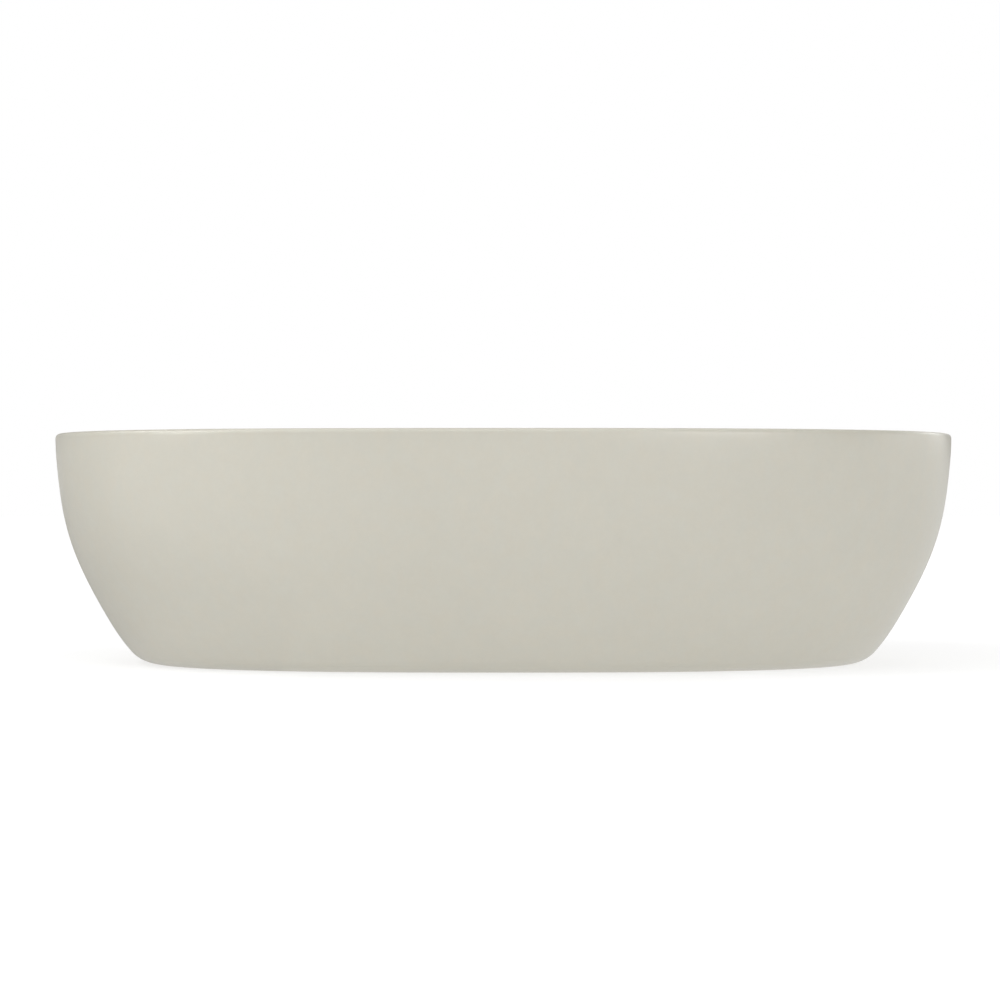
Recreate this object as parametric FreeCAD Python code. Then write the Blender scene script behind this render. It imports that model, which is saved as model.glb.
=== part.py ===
import FreeCAD, Part
import math
import os
from FreeCAD import Vector as V

# Countertop basin: a one-piece glazed ceramic bowl that stands on a worktop,
# with a push-open waste fitted in its central drain hole.
# Millimetres. Z = 0 is the worktop, +Z up. X is the long side, -Y the front.
# The origin is the centre of the foot's resting plane, on the drain's axis.

# ---------------------------------------------------------------- dimensions
# basin, plan
HALF_LENGTH = 300.0        # half of the overall length, at the rim
HALF_DEPTH = 200.0         # half of the overall depth, at the rim
PLAN_EXPONENT = 2.77       # superellipse exponent of every plan section
PLAN_POINTS = 14           # spline points in each quarter of the plan curve

# basin, outer wall: (inset from the rim outline, height)
HEIGHT = 152.5
WALL = [(48.7, 8.0), (35.6, 26.8), (26.6, 42.9), (16.1, 64.3), (8.45, 85.8), (3.85, 107.2), (1.25, 128.7)]
BASE_INSET = 66.0          # inset of the flat foot's outer edge
BASE_RADIUS = 22.8         # radius of the curve from foot to wall
BASE_SLOPE = 0.851         # inset per unit of height where that curve meets the wall

# basin, rim and wall thickness
RIM_RADIUS = 3.0           # rounding of the rim's outer and inner edges
RIM_THICKNESS = 9.0
WALL_GAIN = 2.3            # how much thicker the wall is where the floor's curve begins
SHELL = 11.0               # thickness of the lower wall, the floor and the foot flange

# basin, bowl floor
CURVE_START = 84.0         # outer-wall height at which the bowl's curve into its floor begins
FLOOR_EDGE_Z = 57.5        # floor height where that curve ends
FLOOR_Z = 51.0             # floor height around the drain
FLOOR_FALL = 1.6           # power of the floor's fall towards the drain
FLOOR_FLAT = (46.0, 44.0)  # half sizes of the level patch around the drain

# basin, underside
FOOT_WIDTH = 22.0          # width of the foot flange
FOOT_EDGE = 1.5            # rounding of the flange's inner edge
HOLLOW_RADIUS = 7.0        # rounding at the top of the hollow
BOSS_FLAT = (56.0, 52.0)   # half sizes of the level patch under the drain
BOSS_Z = 33.0              # height of that patch

# drain hole in the ceramic
SEAT_Z = 43.0
SEAT_R = 33.0
SEAT_LIP = 3.0
DRAIN_R = 22.75

# waste
TRAVEL = 9.0               # height the plug rises from closed to open; it is drawn open
FLANGE_R = 32.0
FLANGE_Z0, FLANGE_Z1 = 44.2, 49.2
CONE_R, CONE_Z0 = 26.0, 43.4
BODY_R = 20.955            # outside of a 1 1/4 inch pipe thread
BORE_R = 17.8
TAIL_Z = 2.0
SOCKET_R, SOCKET_TOP = 18.6, 12.0
BRIDGE_Z0, BRIDGE_Z1 = 12.6, 15.4
BRIDGE_ARM = 4.6
BOSS_R, BRIDGE_BOSS_Z0, BRIDGE_BOSS_Z1 = 7.6, 12.6, 17.5
BOSS_HOLE_R = 4.0
THREAD_PITCH, THREAD_DEPTH = 2.309, 0.85
LOWER_SEAL_Z0, LOWER_SEAL_R = 27.0, 31.0
WASHER_Z0, WASHER_R = 25.5, 29.0
NUT_Z0, NUT_AF = 15.0, 54.0

# push-open cartridge
HOUSING_R, HOUSING_BORE, HOUSING_Z1 = 8.2, 6.9, 45.5
HOUSING_FLOOR = 19.5
SPIGOT_Z0 = 12.9
RING_GROOVE_R, RING_GROOVE_Z0, RING_GROOVE_Z1 = 7.5, 44.0, 45.0
BUSH_Z0, BUSH_Z1, BUSH_HOLE = 41.0, 43.95, 4.05
PLUNGER_R, PLUNGER_TOP = 4.0, 55.0
PLUNGER_COLLAR_R, PLUNGER_COLLAR_Z0, PLUNGER_COLLAR_Z1 = 6.6, 37.7, 40.9
PLUNGER_SPIGOT_R, PLUNGER_SPIGOT_Z0 = 2.9, 29.5
CAM_R, CAM_Z0, CAM_Z1, CAM_TEETH = 6.55, 34.2, 37.5, 8
SPRING_WIRE, SPRING_R, SPRING_TURNS = 0.75, 5.0, 6.0

# plug, drawn in its raised position
STUD_R, STUD_Z0, STUD_Z1 = 2.5, 46.5, 62.6
LOCK_NUT_AF, LOCK_NUT_H = 9.0, 2.8
HUB_Z0, HUB_DISC_Z0, HUB_Z1 = 55.0, 55.7, 61.0
HUB_R, HUB_LIP_R, HUB_BOSS_R = 25.5, 21.5, 9.5
SEAL_R0, SEAL_R1, SEAL_Z0, SEAL_Z1 = 19.0, 24.6, 56.3, 58.5
CAP_R, CAP_Z0, CAP_Z1 = 31.4, 58.8, 66.6
CAP_POCKET_R = 27.4


# ---------------------------------------------------------------- helpers
def quarter_plan():
    """Points evenly spaced along a quarter of the rim's superellipse, from the right end to the back."""
    e = 2.0 / PLAN_EXPONENT
    m = 4000
    fine = [(HALF_LENGTH * math.cos(i / m * math.pi / 2) ** e, HALF_DEPTH * math.sin(i / m * math.pi / 2) ** e) for i in range(m)]
    fine.append((0.0, HALF_DEPTH))
    run = [0.0]
    for p, q in zip(fine, fine[1:]):
        run.append(run[-1] + math.hypot(q[0] - p[0], q[1] - p[1]))
    pts, k = [], 0
    for j in range(PLAN_POINTS):
        s = run[-1] * j / PLAN_POINTS
        while run[k + 1] < s:
            k += 1
        f = (s - run[k]) / (run[k + 1] - run[k])
        pts.append((fine[k][0] + f * (fine[k + 1][0] - fine[k][0]), fine[k][1] + f * (fine[k + 1][1] - fine[k][1])))
    return pts + [(0.0, HALF_DEPTH)]


PLAN = Part.BSplineCurve()
PLAN.interpolate(Points=[V(x, y, 0) for x, y in quarter_plan()], InitialTangent=V(0, 1, 0), FinalTangent=V(-1, 0, 0), Scale=False)
PLAN_POLES = [V(p.x / HALF_LENGTH, p.y / HALF_DEPTH, 0) for p in PLAN.getPoles()]
PLAN_KNOTS = PLAN.getKnots()
PLAN_MULTS = PLAN.getMultiplicities()
QUARTERS = [(1, 1), (-1, 1), (-1, -1), (1, -1)]


def plan_wire(a, b, z):
    """The plan curve with half sizes a and b, at height z, in four quarters."""
    edges = []
    for sx, sy in QUARTERS:
        c = Part.BSplineCurve()
        c.buildFromPolesMultsKnots([V(sx * p.x * a, sy * p.y * b, z) for p in PLAN_POLES], PLAN_MULTS, PLAN_KNOTS, False, PLAN.Degree)
        edges.append(c.toShape())
    return Part.Wire(Part.__sortEdges__(edges))


def plan_face(outer, inner, z):
    """A level face inside the plan curve outer, round the plan curve inner if there is one."""
    face = Part.Face(plan_wire(*outer, z))
    if inner is None:
        return [face]
    return face.cut(Part.Face(plan_wire(*inner, z))).Faces


def ring_surface(points, first, last):
    """The four quarter surfaces of plan curves whose half sizes and height follow points (a, b, z), with the end directions given."""
    prof = Part.BSplineCurve()
    prof.interpolate(Points=[V(*p) for p in points], InitialTangent=V(*first).normalize(), FinalTangent=V(*last).normalize(), Scale=False)
    faces = []
    for sx, sy in QUARTERS:
        poles = [[V(sx * q.x * p.x, sy * q.y * p.y, p.z) for p in prof.getPoles()] for q in PLAN_POLES]
        s = Part.BSplineSurface()
        s.buildFromPolesMultsKnots(poles, PLAN_MULTS, prof.getMultiplicities(), PLAN_KNOTS, prof.getKnots(), False, False, PLAN.Degree, prof.Degree)
        faces.append(s.toShape())
    return faces


def spline_slopes(pts, s0, s1):
    """Slopes d' at the points (d, z), z rising, of the cubic spline with end slopes s0 and s1."""
    n = len(pts)
    z = [p[1] for p in pts]
    d = [p[0] for p in pts]
    a, b, c, r = [0.0] * n, [1.0] * n, [0.0] * n, [0.0] * n
    r[0], r[-1] = s0, s1
    for i in range(1, n - 1):
        h0, h1 = z[i] - z[i - 1], z[i + 1] - z[i]
        a[i], b[i], c[i] = h1, 2 * (h0 + h1), h0
        r[i] = 3 * (h1 * (d[i] - d[i - 1]) / h0 + h0 * (d[i + 1] - d[i]) / h1)
    for i in range(1, n):
        f = a[i] / b[i - 1]
        b[i] -= f * c[i - 1]
        r[i] -= f * r[i - 1]
    m = [0.0] * n
    m[-1] = r[-1] / b[-1]
    for i in range(n - 2, -1, -1):
        m[i] = (r[i] - c[i] * m[i + 1]) / b[i]
    return m


WALL_PTS = WALL + [(0.0, HEIGHT - RIM_RADIUS)]
WALL_SLOPES = spline_slopes(WALL_PTS, -BASE_SLOPE, 0.0)


def wall(z):
    """Inset and slope of the outer wall at height z."""
    for (p, q, m0, m1) in zip(WALL_PTS, WALL_PTS[1:], WALL_SLOPES, WALL_SLOPES[1:]):
        if z <= q[1] + 1e-9:
            h = q[1] - p[1]
            t = (z - p[1]) / h
            d = (2 * t ** 3 - 3 * t * t + 1) * p[0] + (t ** 3 - 2 * t * t + t) * h * m0 + (3 * t * t - 2 * t ** 3) * q[0] + (t ** 3 - t * t) * h * m1
            s = ((6 * t * t - 6 * t) * p[0] + (6 * t - 6 * t * t) * q[0]) / h + (3 * t * t - 4 * t + 1) * m0 + (3 * t * t - 2 * t) * m1
            return d, s
    return 0.0, 0.0


def inside_wall(z, t):
    """The point t inside the outer wall at height z, as inset and height."""
    d, s = wall(z)
    n = math.hypot(1.0, s)
    return d + t / n, z - t * s / n


def sized(d, z):
    return (HALF_LENGTH - d, HALF_DEPTH - d, z)


def floor_curve(edge, flat, k):
    """Half sizes at share w of the way from the edge (a, b) to the level patch flat, leaving the edge square to it."""
    da, db = edge[0] - flat[0], edge[1] - flat[1]
    c3 = da + k - 2 * db
    c2 = db - da - c3
    c2, c3 = -c2, -c3

    def at(w):
        return edge[0] - da * w, edge[1] - da * w + c2 * w * w + c3 * w ** 3

    return at


def revolve(points):
    """The solid of revolution about Z of a closed outline of (r, z); an entry (r, z, rm, zm) is reached by an arc through (rm, zm)."""
    edges, n = [], len(points)
    for i in range(n):
        p, q = points[i], points[(i + 1) % n]
        a, b = V(p[0], 0, p[1]), V(q[0], 0, q[1])
        if len(q) == 4:
            edges.append(Part.Arc(a, V(q[2], 0, q[3]), b).toShape())
        else:
            edges.append(Part.LineSegment(a, b).toShape())
    return Part.Face(Part.Wire(edges)).revolve(V(0, 0, 0), V(0, 0, 1), 360)


def hexagon(af, z0, z1, chamfer=0.0):
    """A hexagonal prism, its corners turned off at both ends."""
    r = af / math.sqrt(3)
    pts = [V(r * math.cos(math.radians(60 * i)), r * math.sin(math.radians(60 * i)), z0) for i in range(7)]
    s = Part.Face(Part.makePolygon(pts)).extrude(V(0, 0, z1 - z0))
    if chamfer:
        k = chamfer * 0.6
        s = s.common(revolve([(0, z0), (r - chamfer, z0), (r, z0 + k), (r, z1 - k), (r - chamfer, z1), (0, z1)]))
    return s


def one(shape):
    """The single solid that a boolean result holds."""
    shape = shape.removeSplitter()
    assert len(shape.Solids) == 1, len(shape.Solids)
    return shape.Solids[0]


# ---------------------------------------------------------------- basin body
def basin_body():
    # outer face: foot curve, then the wall up to the rim
    turn = math.atan(BASE_SLOPE)
    out = []
    for i in range(9):
        t = math.pi / 2 + (turn - math.pi / 2) * i / 9
        out.append(sized(BASE_INSET - BASE_RADIUS * math.cos(t), BASE_RADIUS - BASE_RADIUS * math.sin(t)))
    z0, z1 = BASE_RADIUS * (1 - math.sin(turn)), HEIGHT - RIM_RADIUS
    for i in range(17):
        z = z0 + (z1 - z0) * i / 16
        z = max(z, WALL[0][1])
        out.append(sized(wall(z)[0], z))
    outer = ring_surface(out, (1, 1, 0), (0, 0, 1))

    # rim: outer rounding, narrow level top, inner rounding
    over, inward = [], []
    for i in range(7):
        t = math.pi / 2 * i / 6
        over.append(sized(RIM_RADIUS * (1 - math.cos(t)), z1 + RIM_RADIUS * math.sin(t)))
        inward.append(sized(RIM_THICKNESS - RIM_RADIUS * (1 - math.sin(t)), z1 + RIM_RADIUS * math.cos(t)))
    rim = ring_surface(over, (0, 0, 1), (-1, -1, 0)) + ring_surface(inward, (-1, -1, 0), (0, 0, -1))
    rim += plan_face(over[-1][:2], inward[0][:2], HEIGHT)

    # bowl: wall, curve, floor falling to the level patch round the drain
    def inner_wall(z):
        return inside_wall(z, RIM_THICKNESS + WALL_GAIN * ((z1 - z) / (z1 - CURVE_START)) ** 1.6)

    bowl = [sized(*inner_wall(z1 + (CURVE_START - z1) * i / 12)) for i in range(13)]
    d0, zs = inner_wall(CURVE_START)
    da, za = inner_wall(CURVE_START + 0.5)
    psi0 = math.atan2(d0 - da, za - zs)
    psi1 = math.radians(86)
    for _ in range(20):
        radius = (zs - FLOOR_EDGE_Z) / (math.sin(psi1) - math.sin(psi0))
        centre = (d0 + radius * math.cos(psi0), zs + radius * math.sin(psi0))
        d1 = centre[0] - radius * math.cos(psi1)
        psi1 = math.pi / 2 - math.atan((FLOOR_EDGE_Z - FLOOR_Z) * FLOOR_FALL / (HALF_LENGTH - d1 - FLOOR_FLAT[0]))
    for i in range(1, 13):
        t = psi0 + (psi1 - psi0) * i / 12
        bowl.append(sized(centre[0] - radius * math.cos(t), centre[1] - radius * math.sin(t)))
    edge = (HALF_LENGTH - d1, HALF_DEPTH - d1)
    at = floor_curve(edge, FLOOR_FLAT, 40.0)
    for i in range(1, 17):
        w = i / 16
        a, b = at(w)
        bowl.append((a, b, FLOOR_Z + (FLOOR_EDGE_Z - FLOOR_Z) * (1 - w) ** FLOOR_FALL))
    bowl = ring_surface(bowl, (0, 0, -1), (-(edge[0] - FLOOR_FLAT[0]), -40.0, 0))
    patch = plan_face(FLOOR_FLAT, None, FLOOR_Z)

    # foot: resting face, rounded inner edge, top of the flange
    hole = BASE_INSET + FOOT_WIDTH
    e = FOOT_EDGE
    foot = plan_face(sized(BASE_INSET, 0)[:2], sized(hole - e, 0)[:2], 0.0)
    low, high = [], []
    for i in range(6):
        t = math.pi / 2 * i / 5
        low.append(sized(hole - e + e * math.sin(t), e - e * math.cos(t)))
        high.append(sized(hole - e + e * math.cos(t), SHELL - e + e * math.sin(t)))
    lip = ring_surface(low, (-1, -1, 0), (0, 0, 1)) + ring_surface(high, (0, 0, 1), (1, 1, 0))
    lip += ring_surface([low[-1], high[0]], (0, 0, 1), (0, 0, 1))
    shelf = plan_face(sized(BASE_INSET, 0)[:2], sized(hole - e, 0)[:2], SHELL)

    # hollow underside: curve out of the flange, wall, top curve, ceiling, level patch under the drain
    hollow = []
    for i in range(7):
        t = math.pi / 2 + (turn - math.pi / 2) * i / 7
        r = BASE_RADIUS - SHELL
        hollow.append(sized(BASE_INSET - r * math.cos(t), BASE_RADIUS - r * math.sin(t)))
    lo, hi = z0, CURVE_START
    for _ in range(60):
        mid = (lo + hi) / 2
        p = inside_wall(mid, SHELL + HOLLOW_RADIUS)
        if math.hypot(p[0] - centre[0], p[1] - centre[1]) > radius + SHELL + HOLLOW_RADIUS:
            lo = mid
        else:
            hi = mid
    top = lo
    for i in range(9):
        z = max(z0 + (top - z0) * i / 8, WALL[0][1])
        hollow.append(sized(*inside_wall(z, SHELL)))
    mid = inside_wall(top, SHELL + HOLLOW_RADIUS)
    end = inside_wall(top, SHELL)
    g0 = math.atan2(end[1] - mid[1], end[0] - mid[0])
    g1 = math.atan2(centre[1] - mid[1], centre[0] - mid[0])
    if g0 < 0:
        g0 += 2 * math.pi
    for i in range(1, 9):
        g = g0 + (g1 - g0) * i / 8
        hollow.append(sized(mid[0] + HOLLOW_RADIUS * math.cos(g), mid[1] + HOLLOW_RADIUS * math.sin(g)))
    under = radius + SHELL
    p0 = math.atan2(centre[1] - mid[1], centre[0] - mid[0])
    for i in range(1, 7):
        t = p0 + (psi1 - p0) * i / 6
        hollow.append(sized(centre[0] - under * math.cos(t), centre[1] - under * math.sin(t)))
    d2, z2 = centre[0] - under * math.cos(psi1), centre[1] - under * math.sin(psi1)
    edge2 = (HALF_LENGTH - d2, HALF_DEPTH - d2)
    at = floor_curve(edge2, BOSS_FLAT, 34.0)
    for i in range(1, 21):
        w = i / 20
        a, b = at(w)
        s = min(1.0, max(0.0, (w - 0.66) / 0.32))
        drop = (FLOOR_Z - SHELL - BOSS_Z) * s * s * (3 - 2 * s)
        hollow.append((a, b, FLOOR_Z - SHELL + (z2 - FLOOR_Z + SHELL) * (1 - w) ** FLOOR_FALL - drop))
    hollow = ring_surface(hollow, (1, 1, 0), (-(edge2[0] - BOSS_FLAT[0]), -34.0, 0))
    boss = plan_face(BOSS_FLAT, None, BOSS_Z)

    shell = Part.makeShell(outer + rim + bowl + patch + foot + lip + shelf + hollow + boss)
    shell.sewShape()
    body = Part.makeSolid(shell)
    if body.Volume < 0:
        body.reverse()

    # drain: hole, stepped seat and rounded lip
    lip_z = FLOOR_Z - SEAT_LIP + 0.25
    k = math.sqrt(0.5)
    drain = revolve([
        (0, BOSS_Z - 5), (DRAIN_R, BOSS_Z - 5), (DRAIN_R, SEAT_Z), (SEAT_R, SEAT_Z), (SEAT_R, lip_z),
        (SEAT_R + SEAT_LIP, lip_z + SEAT_LIP, SEAT_R + SEAT_LIP - SEAT_LIP * k, lip_z + SEAT_LIP * k),
        (SEAT_R + SEAT_LIP, FLOOR_Z + 20), (0, FLOOR_Z + 20),
    ])
    print("bowl curve radius %.2f, floor edge half sizes %.1f x %.1f" % (radius, edge[0], edge[1]))
    return one(body.cut(drain))


# ---------------------------------------------------------------- waste, fixed pieces
def waste_body():
    f = 1.1
    k = f * (1 - math.sqrt(0.5))
    outline = [
        (BORE_R, SOCKET_TOP), (SOCKET_R, SOCKET_TOP), (SOCKET_R, TAIL_Z + 0.6), (SOCKET_R + 0.6, TAIL_Z), (BODY_R - 1.0, TAIL_Z), (BODY_R, TAIL_Z + 1.0),
        (BODY_R, FLANGE_Z0), (FLANGE_R - 0.4, FLANGE_Z0), (FLANGE_R, FLANGE_Z0 + 0.4), (FLANGE_R, FLANGE_Z1 - f),
        (FLANGE_R - f, FLANGE_Z1, FLANGE_R - k, FLANGE_Z1 - k),
        (CONE_R + 0.5, FLANGE_Z1), (CONE_R, FLANGE_Z1 - 0.35, CONE_R + 0.12, FLANGE_Z1 - 0.1), (BORE_R, CONE_Z0),
    ]
    s = revolve(outline)
    arms = revolve([(BOSS_HOLE_R, BRIDGE_BOSS_Z0), (BOSS_R, BRIDGE_BOSS_Z0), (BOSS_R, BRIDGE_BOSS_Z1), (BOSS_HOLE_R, BRIDGE_BOSS_Z1)])
    for i in range(3):
        arm = Part.makeBox(BORE_R - BOSS_R + 2.0, BRIDGE_ARM, BRIDGE_Z1 - BRIDGE_Z0, V(BOSS_R - 1.0, -BRIDGE_ARM / 2, BRIDGE_Z0))
        arm.rotate(V(0, 0, 0), V(0, 0, 1), 90 + 120 * i)
        arms = arms.fuse(arm)
    s = s.fuse(arms)
    # thread: even grooves at the thread's pitch, on the part that shows below the nut and inside it
    z = TAIL_Z + 1.6
    while z < LOWER_SEAL_Z0 - 2:
        groove = revolve([(BODY_R + 0.5, z - 0.72), (BODY_R + 0.5, z + 0.72 + 0.5), (BODY_R - THREAD_DEPTH, z + 0.35), (BODY_R - THREAD_DEPTH, z + 0.1)])
        s = s.cut(groove)
        z += THREAD_PITCH
    return one(s)


def flange_seal():
    return revolve([(DRAIN_R + 0.4, SEAT_Z), (FLANGE_R - 0.8, SEAT_Z), (FLANGE_R - 0.8, FLANGE_Z0), (DRAIN_R + 0.4, FLANGE_Z0)])


def lower_seal():
    r0 = BODY_R + 0.05
    z0, z1 = LOWER_SEAL_Z0, BOSS_Z
    return revolve([
        (r0, z0), (LOWER_SEAL_R - 4.0, z0), (LOWER_SEAL_R - 0.6, z1 - 2.2), (LOWER_SEAL_R, z1 - 1.4, LOWER_SEAL_R - 0.1, z1 - 1.9),
        (LOWER_SEAL_R, z1), (r0, z1),
    ])


def slip_washer():
    return revolve([(BODY_R + 0.15, WASHER_Z0), (WASHER_R - 0.3, WASHER_Z0), (WASHER_R, WASHER_Z0 + 0.3), (WASHER_R, LOWER_SEAL_Z0), (BODY_R + 0.15, LOWER_SEAL_Z0)])


def backnut():
    s = hexagon(NUT_AF, NUT_Z0, WASHER_Z0, 2.2)
    r = BODY_R + 0.05
    bore = revolve([(0, NUT_Z0 - 1), (r + 1.9, NUT_Z0 - 1), (r + 0.9, NUT_Z0), (r, NUT_Z0 + 0.9), (r, WASHER_Z0 - 0.9), (r + 0.9, WASHER_Z0), (r + 1.9, WASHER_Z0 + 1), (0, WASHER_Z0 + 1)])
    return one(s.cut(bore))


# ---------------------------------------------------------------- push-open cartridge
def cartridge_housing():
    z0 = BRIDGE_BOSS_Z1
    return revolve([
        (0, SPIGOT_Z0), (BOSS_HOLE_R - 0.55, SPIGOT_Z0), (BOSS_HOLE_R - 0.05, SPIGOT_Z0 + 0.5), (BOSS_HOLE_R - 0.05, z0),
        (HOUSING_R - 0.6, z0), (HOUSING_R, z0 + 0.6), (HOUSING_R, HOUSING_Z1 - 0.5), (HOUSING_R - 0.5, HOUSING_Z1),
        (HOUSING_BORE + 0.3, HOUSING_Z1), (HOUSING_BORE, HOUSING_Z1 - 0.3), (HOUSING_BORE, RING_GROOVE_Z1), (RING_GROOVE_R, RING_GROOVE_Z1),
        (RING_GROOVE_R, RING_GROOVE_Z0), (HOUSING_BORE, RING_GROOVE_Z0), (HOUSING_BORE, HOUSING_FLOOR), (0, HOUSING_FLOOR),
    ])


def guide_bush():
    r = HOUSING_BORE - 0.05
    return revolve([
        (BUSH_HOLE, BUSH_Z0), (r - 0.4, BUSH_Z0), (r, BUSH_Z0 + 0.4), (r, BUSH_Z1), (BUSH_HOLE + 0.5, BUSH_Z1), (BUSH_HOLE, BUSH_Z1 - 0.5),
    ])


def retaining_ring():
    ring = revolve([(5.1, RING_GROOVE_Z0 + 0.05), (RING_GROOVE_R - 0.1, RING_GROOVE_Z0 + 0.05), (RING_GROOVE_R - 0.1, RING_GROOVE_Z1 - 0.05), (5.1, RING_GROOVE_Z1 - 0.05)])
    gap = Part.makeBox(6.0, 3.2, 3.0, V(3.5, -1.6, RING_GROOVE_Z0 - 1))
    return one(ring.cut(gap))


def cartridge_spring():
    # round wire, plain ends, between the housing's floor and the index ring
    r = SPRING_WIRE / 2
    lo, hi = HOUSING_FLOOR + r + 0.05, CAM_Z0 - r - 0.05
    helix = Part.makeHelix((hi - lo) / SPRING_TURNS, hi - lo, SPRING_R)
    helix.translate(V(0, 0, lo))
    first = helix.Edges[0]
    at = first.valueAt(first.FirstParameter)
    along = first.tangentAt(first.FirstParameter)
    section = Part.Wire([Part.makeCircle(r, at, along)])
    s = Part.Wire(helix.Edges).makePipeShell([section], True, True)
    s = s if s.ShapeType == "Solid" else Part.makeSolid(s)
    length = math.hypot(2 * math.pi * SPRING_R * SPRING_TURNS, hi - lo)
    print("spring volume %.2f, section times length %.2f" % (s.Volume, math.pi * r * r * length))
    return s


def index_cam():
    s = revolve([(PLUNGER_SPIGOT_R + 0.08, CAM_Z0), (CAM_R - 0.3, CAM_Z0), (CAM_R, CAM_Z0 + 0.3), (CAM_R, CAM_Z1), (PLUNGER_SPIGOT_R + 0.08, CAM_Z1)])
    # saw teeth round the upper edge
    for i in range(CAM_TEETH):
        pts = [V(4.4, 0, CAM_Z1 + 0.2), V(4.4, 0, CAM_Z1 - 1.1), V(4.4, 2.4, CAM_Z1 + 0.2), V(4.4, 0, CAM_Z1 + 0.2)]
        notch = Part.Face(Part.makePolygon(pts)).extrude(V(3.5, 0, 0))
        notch.rotate(V(0, 0, 0), V(0, 0, 1), 360.0 / CAM_TEETH * i)
        s = s.cut(notch)
    return one(s)


# ---------------------------------------------------------------- plug, moving pieces
def plunger():
    r = STUD_R + 0.05
    return revolve([
        (0, PLUNGER_SPIGOT_Z0), (PLUNGER_SPIGOT_R - 0.5, PLUNGER_SPIGOT_Z0), (PLUNGER_SPIGOT_R, PLUNGER_SPIGOT_Z0 + 0.5), (PLUNGER_SPIGOT_R, PLUNGER_COLLAR_Z0),
        (PLUNGER_COLLAR_R, PLUNGER_COLLAR_Z0), (PLUNGER_COLLAR_R, PLUNGER_COLLAR_Z1 - 0.3), (PLUNGER_COLLAR_R - 0.3, PLUNGER_COLLAR_Z1), (PLUNGER_R, PLUNGER_COLLAR_Z1),
        (PLUNGER_R, PLUNGER_TOP - 0.4), (PLUNGER_R - 0.4, PLUNGER_TOP), (r, PLUNGER_TOP), (r, STUD_Z0 - 0.5), (0, STUD_Z0 - 0.5),
    ])


def adjusting_stud():
    s = revolve([(0, STUD_Z0), (STUD_R - 0.5, STUD_Z0), (STUD_R, STUD_Z0 + 0.5), (STUD_R, STUD_Z1 - 0.5), (STUD_R - 0.5, STUD_Z1), (0, STUD_Z1)])
    z = STUD_Z0 + 1.2
    while z < STUD_Z1 - 1.0:
        s = s.cut(revolve([(STUD_R + 0.3, z - 0.36), (STUD_R + 0.3, z + 0.46), (STUD_R - 0.3, z + 0.1), (STUD_R - 0.3, z)]))
        z += 0.8
    return one(s)


def lock_nut():
    z0 = PLUNGER_TOP + 0.05
    s = hexagon(LOCK_NUT_AF, z0, z0 + LOCK_NUT_H, 0.6)
    return one(s.cut(Part.makeCylinder(STUD_R + 0.05, 10, V(0, 0, z0 - 3))))


def plug_hub():
    # disc with a central boss, a pocket for the lock nut, a threaded hole for the stud and a step for the seal
    n = LOCK_NUT_AF / math.sqrt(3) + 0.5
    pocket = PLUNGER_TOP + LOCK_NUT_H + 0.15
    return revolve([
        (STUD_R + 0.05, pocket), (n, pocket), (n, HUB_Z0 + 0.4), (n + 0.3, HUB_Z0), (HUB_BOSS_R - 0.5, HUB_Z0), (HUB_BOSS_R, HUB_Z0 + 0.5),
        (HUB_BOSS_R, HUB_DISC_Z0), (HUB_LIP_R - 0.4, HUB_DISC_Z0), (HUB_LIP_R, HUB_DISC_Z0 + 0.4), (HUB_LIP_R, SEAL_Z0), (SEAL_R0, SEAL_Z0), (SEAL_R0, SEAL_Z1),
        (HUB_R, SEAL_Z1), (HUB_R, HUB_Z1 - 0.4), (HUB_R - 0.4, HUB_Z1), (STUD_R + 0.05, HUB_Z1),
    ])


def plug_seal():
    r0, r1 = SEAL_R0, SEAL_R1
    return revolve([
        (r0, SEAL_Z0), (r1 - 1.8, SEAL_Z0), (r1 - 1.35, SEAL_Z0 + 0.15), (r1 - 0.2, SEAL_Z0 + 0.95), (r1, SEAL_Z0 + 1.3), (r1, SEAL_Z1 - 0.4), (r1 - 0.4, SEAL_Z1), (r0, SEAL_Z1),
    ])


def plug_cap():
    r = CAP_R
    hole_r, hole_z = STUD_R + 1.2, STUD_Z1 + 0.6
    edge_r, edge_z = r - 2.6, CAP_Z0 + 5.0
    rise = CAP_Z1 - edge_z
    dome = (edge_r ** 2 + rise ** 2) / (2 * rise)
    half = math.asin(edge_r / dome) / 2
    return revolve([
        (0, hole_z), (hole_r, hole_z), (hole_r, HUB_Z1), (CAP_POCKET_R, HUB_Z1), (CAP_POCKET_R, CAP_Z0 + 0.5), (CAP_POCKET_R + 0.5, CAP_Z0, CAP_POCKET_R + 0.15, CAP_Z0 + 0.15),
        (r - 1.5, CAP_Z0), (r, CAP_Z0 + 1.6, r - 0.4, CAP_Z0 + 0.45), (edge_r, edge_z, r - 0.55, CAP_Z0 + 3.9),
        (0, CAP_Z1, dome * math.sin(half), CAP_Z1 - dome + dome * math.cos(half)),
    ])


PIECES = [
    basin_body, waste_body, flange_seal, lower_seal, slip_washer, backnut,
    cartridge_housing, guide_bush, retaining_ring, cartridge_spring, index_cam,
    plunger, adjusting_stud, lock_nut, plug_hub, plug_seal, plug_cap,
]

os.makedirs("parts", exist_ok=True)
for make in PIECES:
    s = make()
    b = s.BoundBox
    ok = s.isValid() and s.isClosed()
    print("%-18s solids %d valid %s volume %10.1f  x %.1f..%.1f y %.1f..%.1f z %.2f..%.2f" % (
        make.__name__, len(s.Solids), ok, s.Volume, b.XMin, b.XMax, b.YMin, b.YMax, b.ZMin, b.ZMax))
    s.exportStep("parts/%s.step" % make.__name__)
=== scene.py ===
import math

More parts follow.
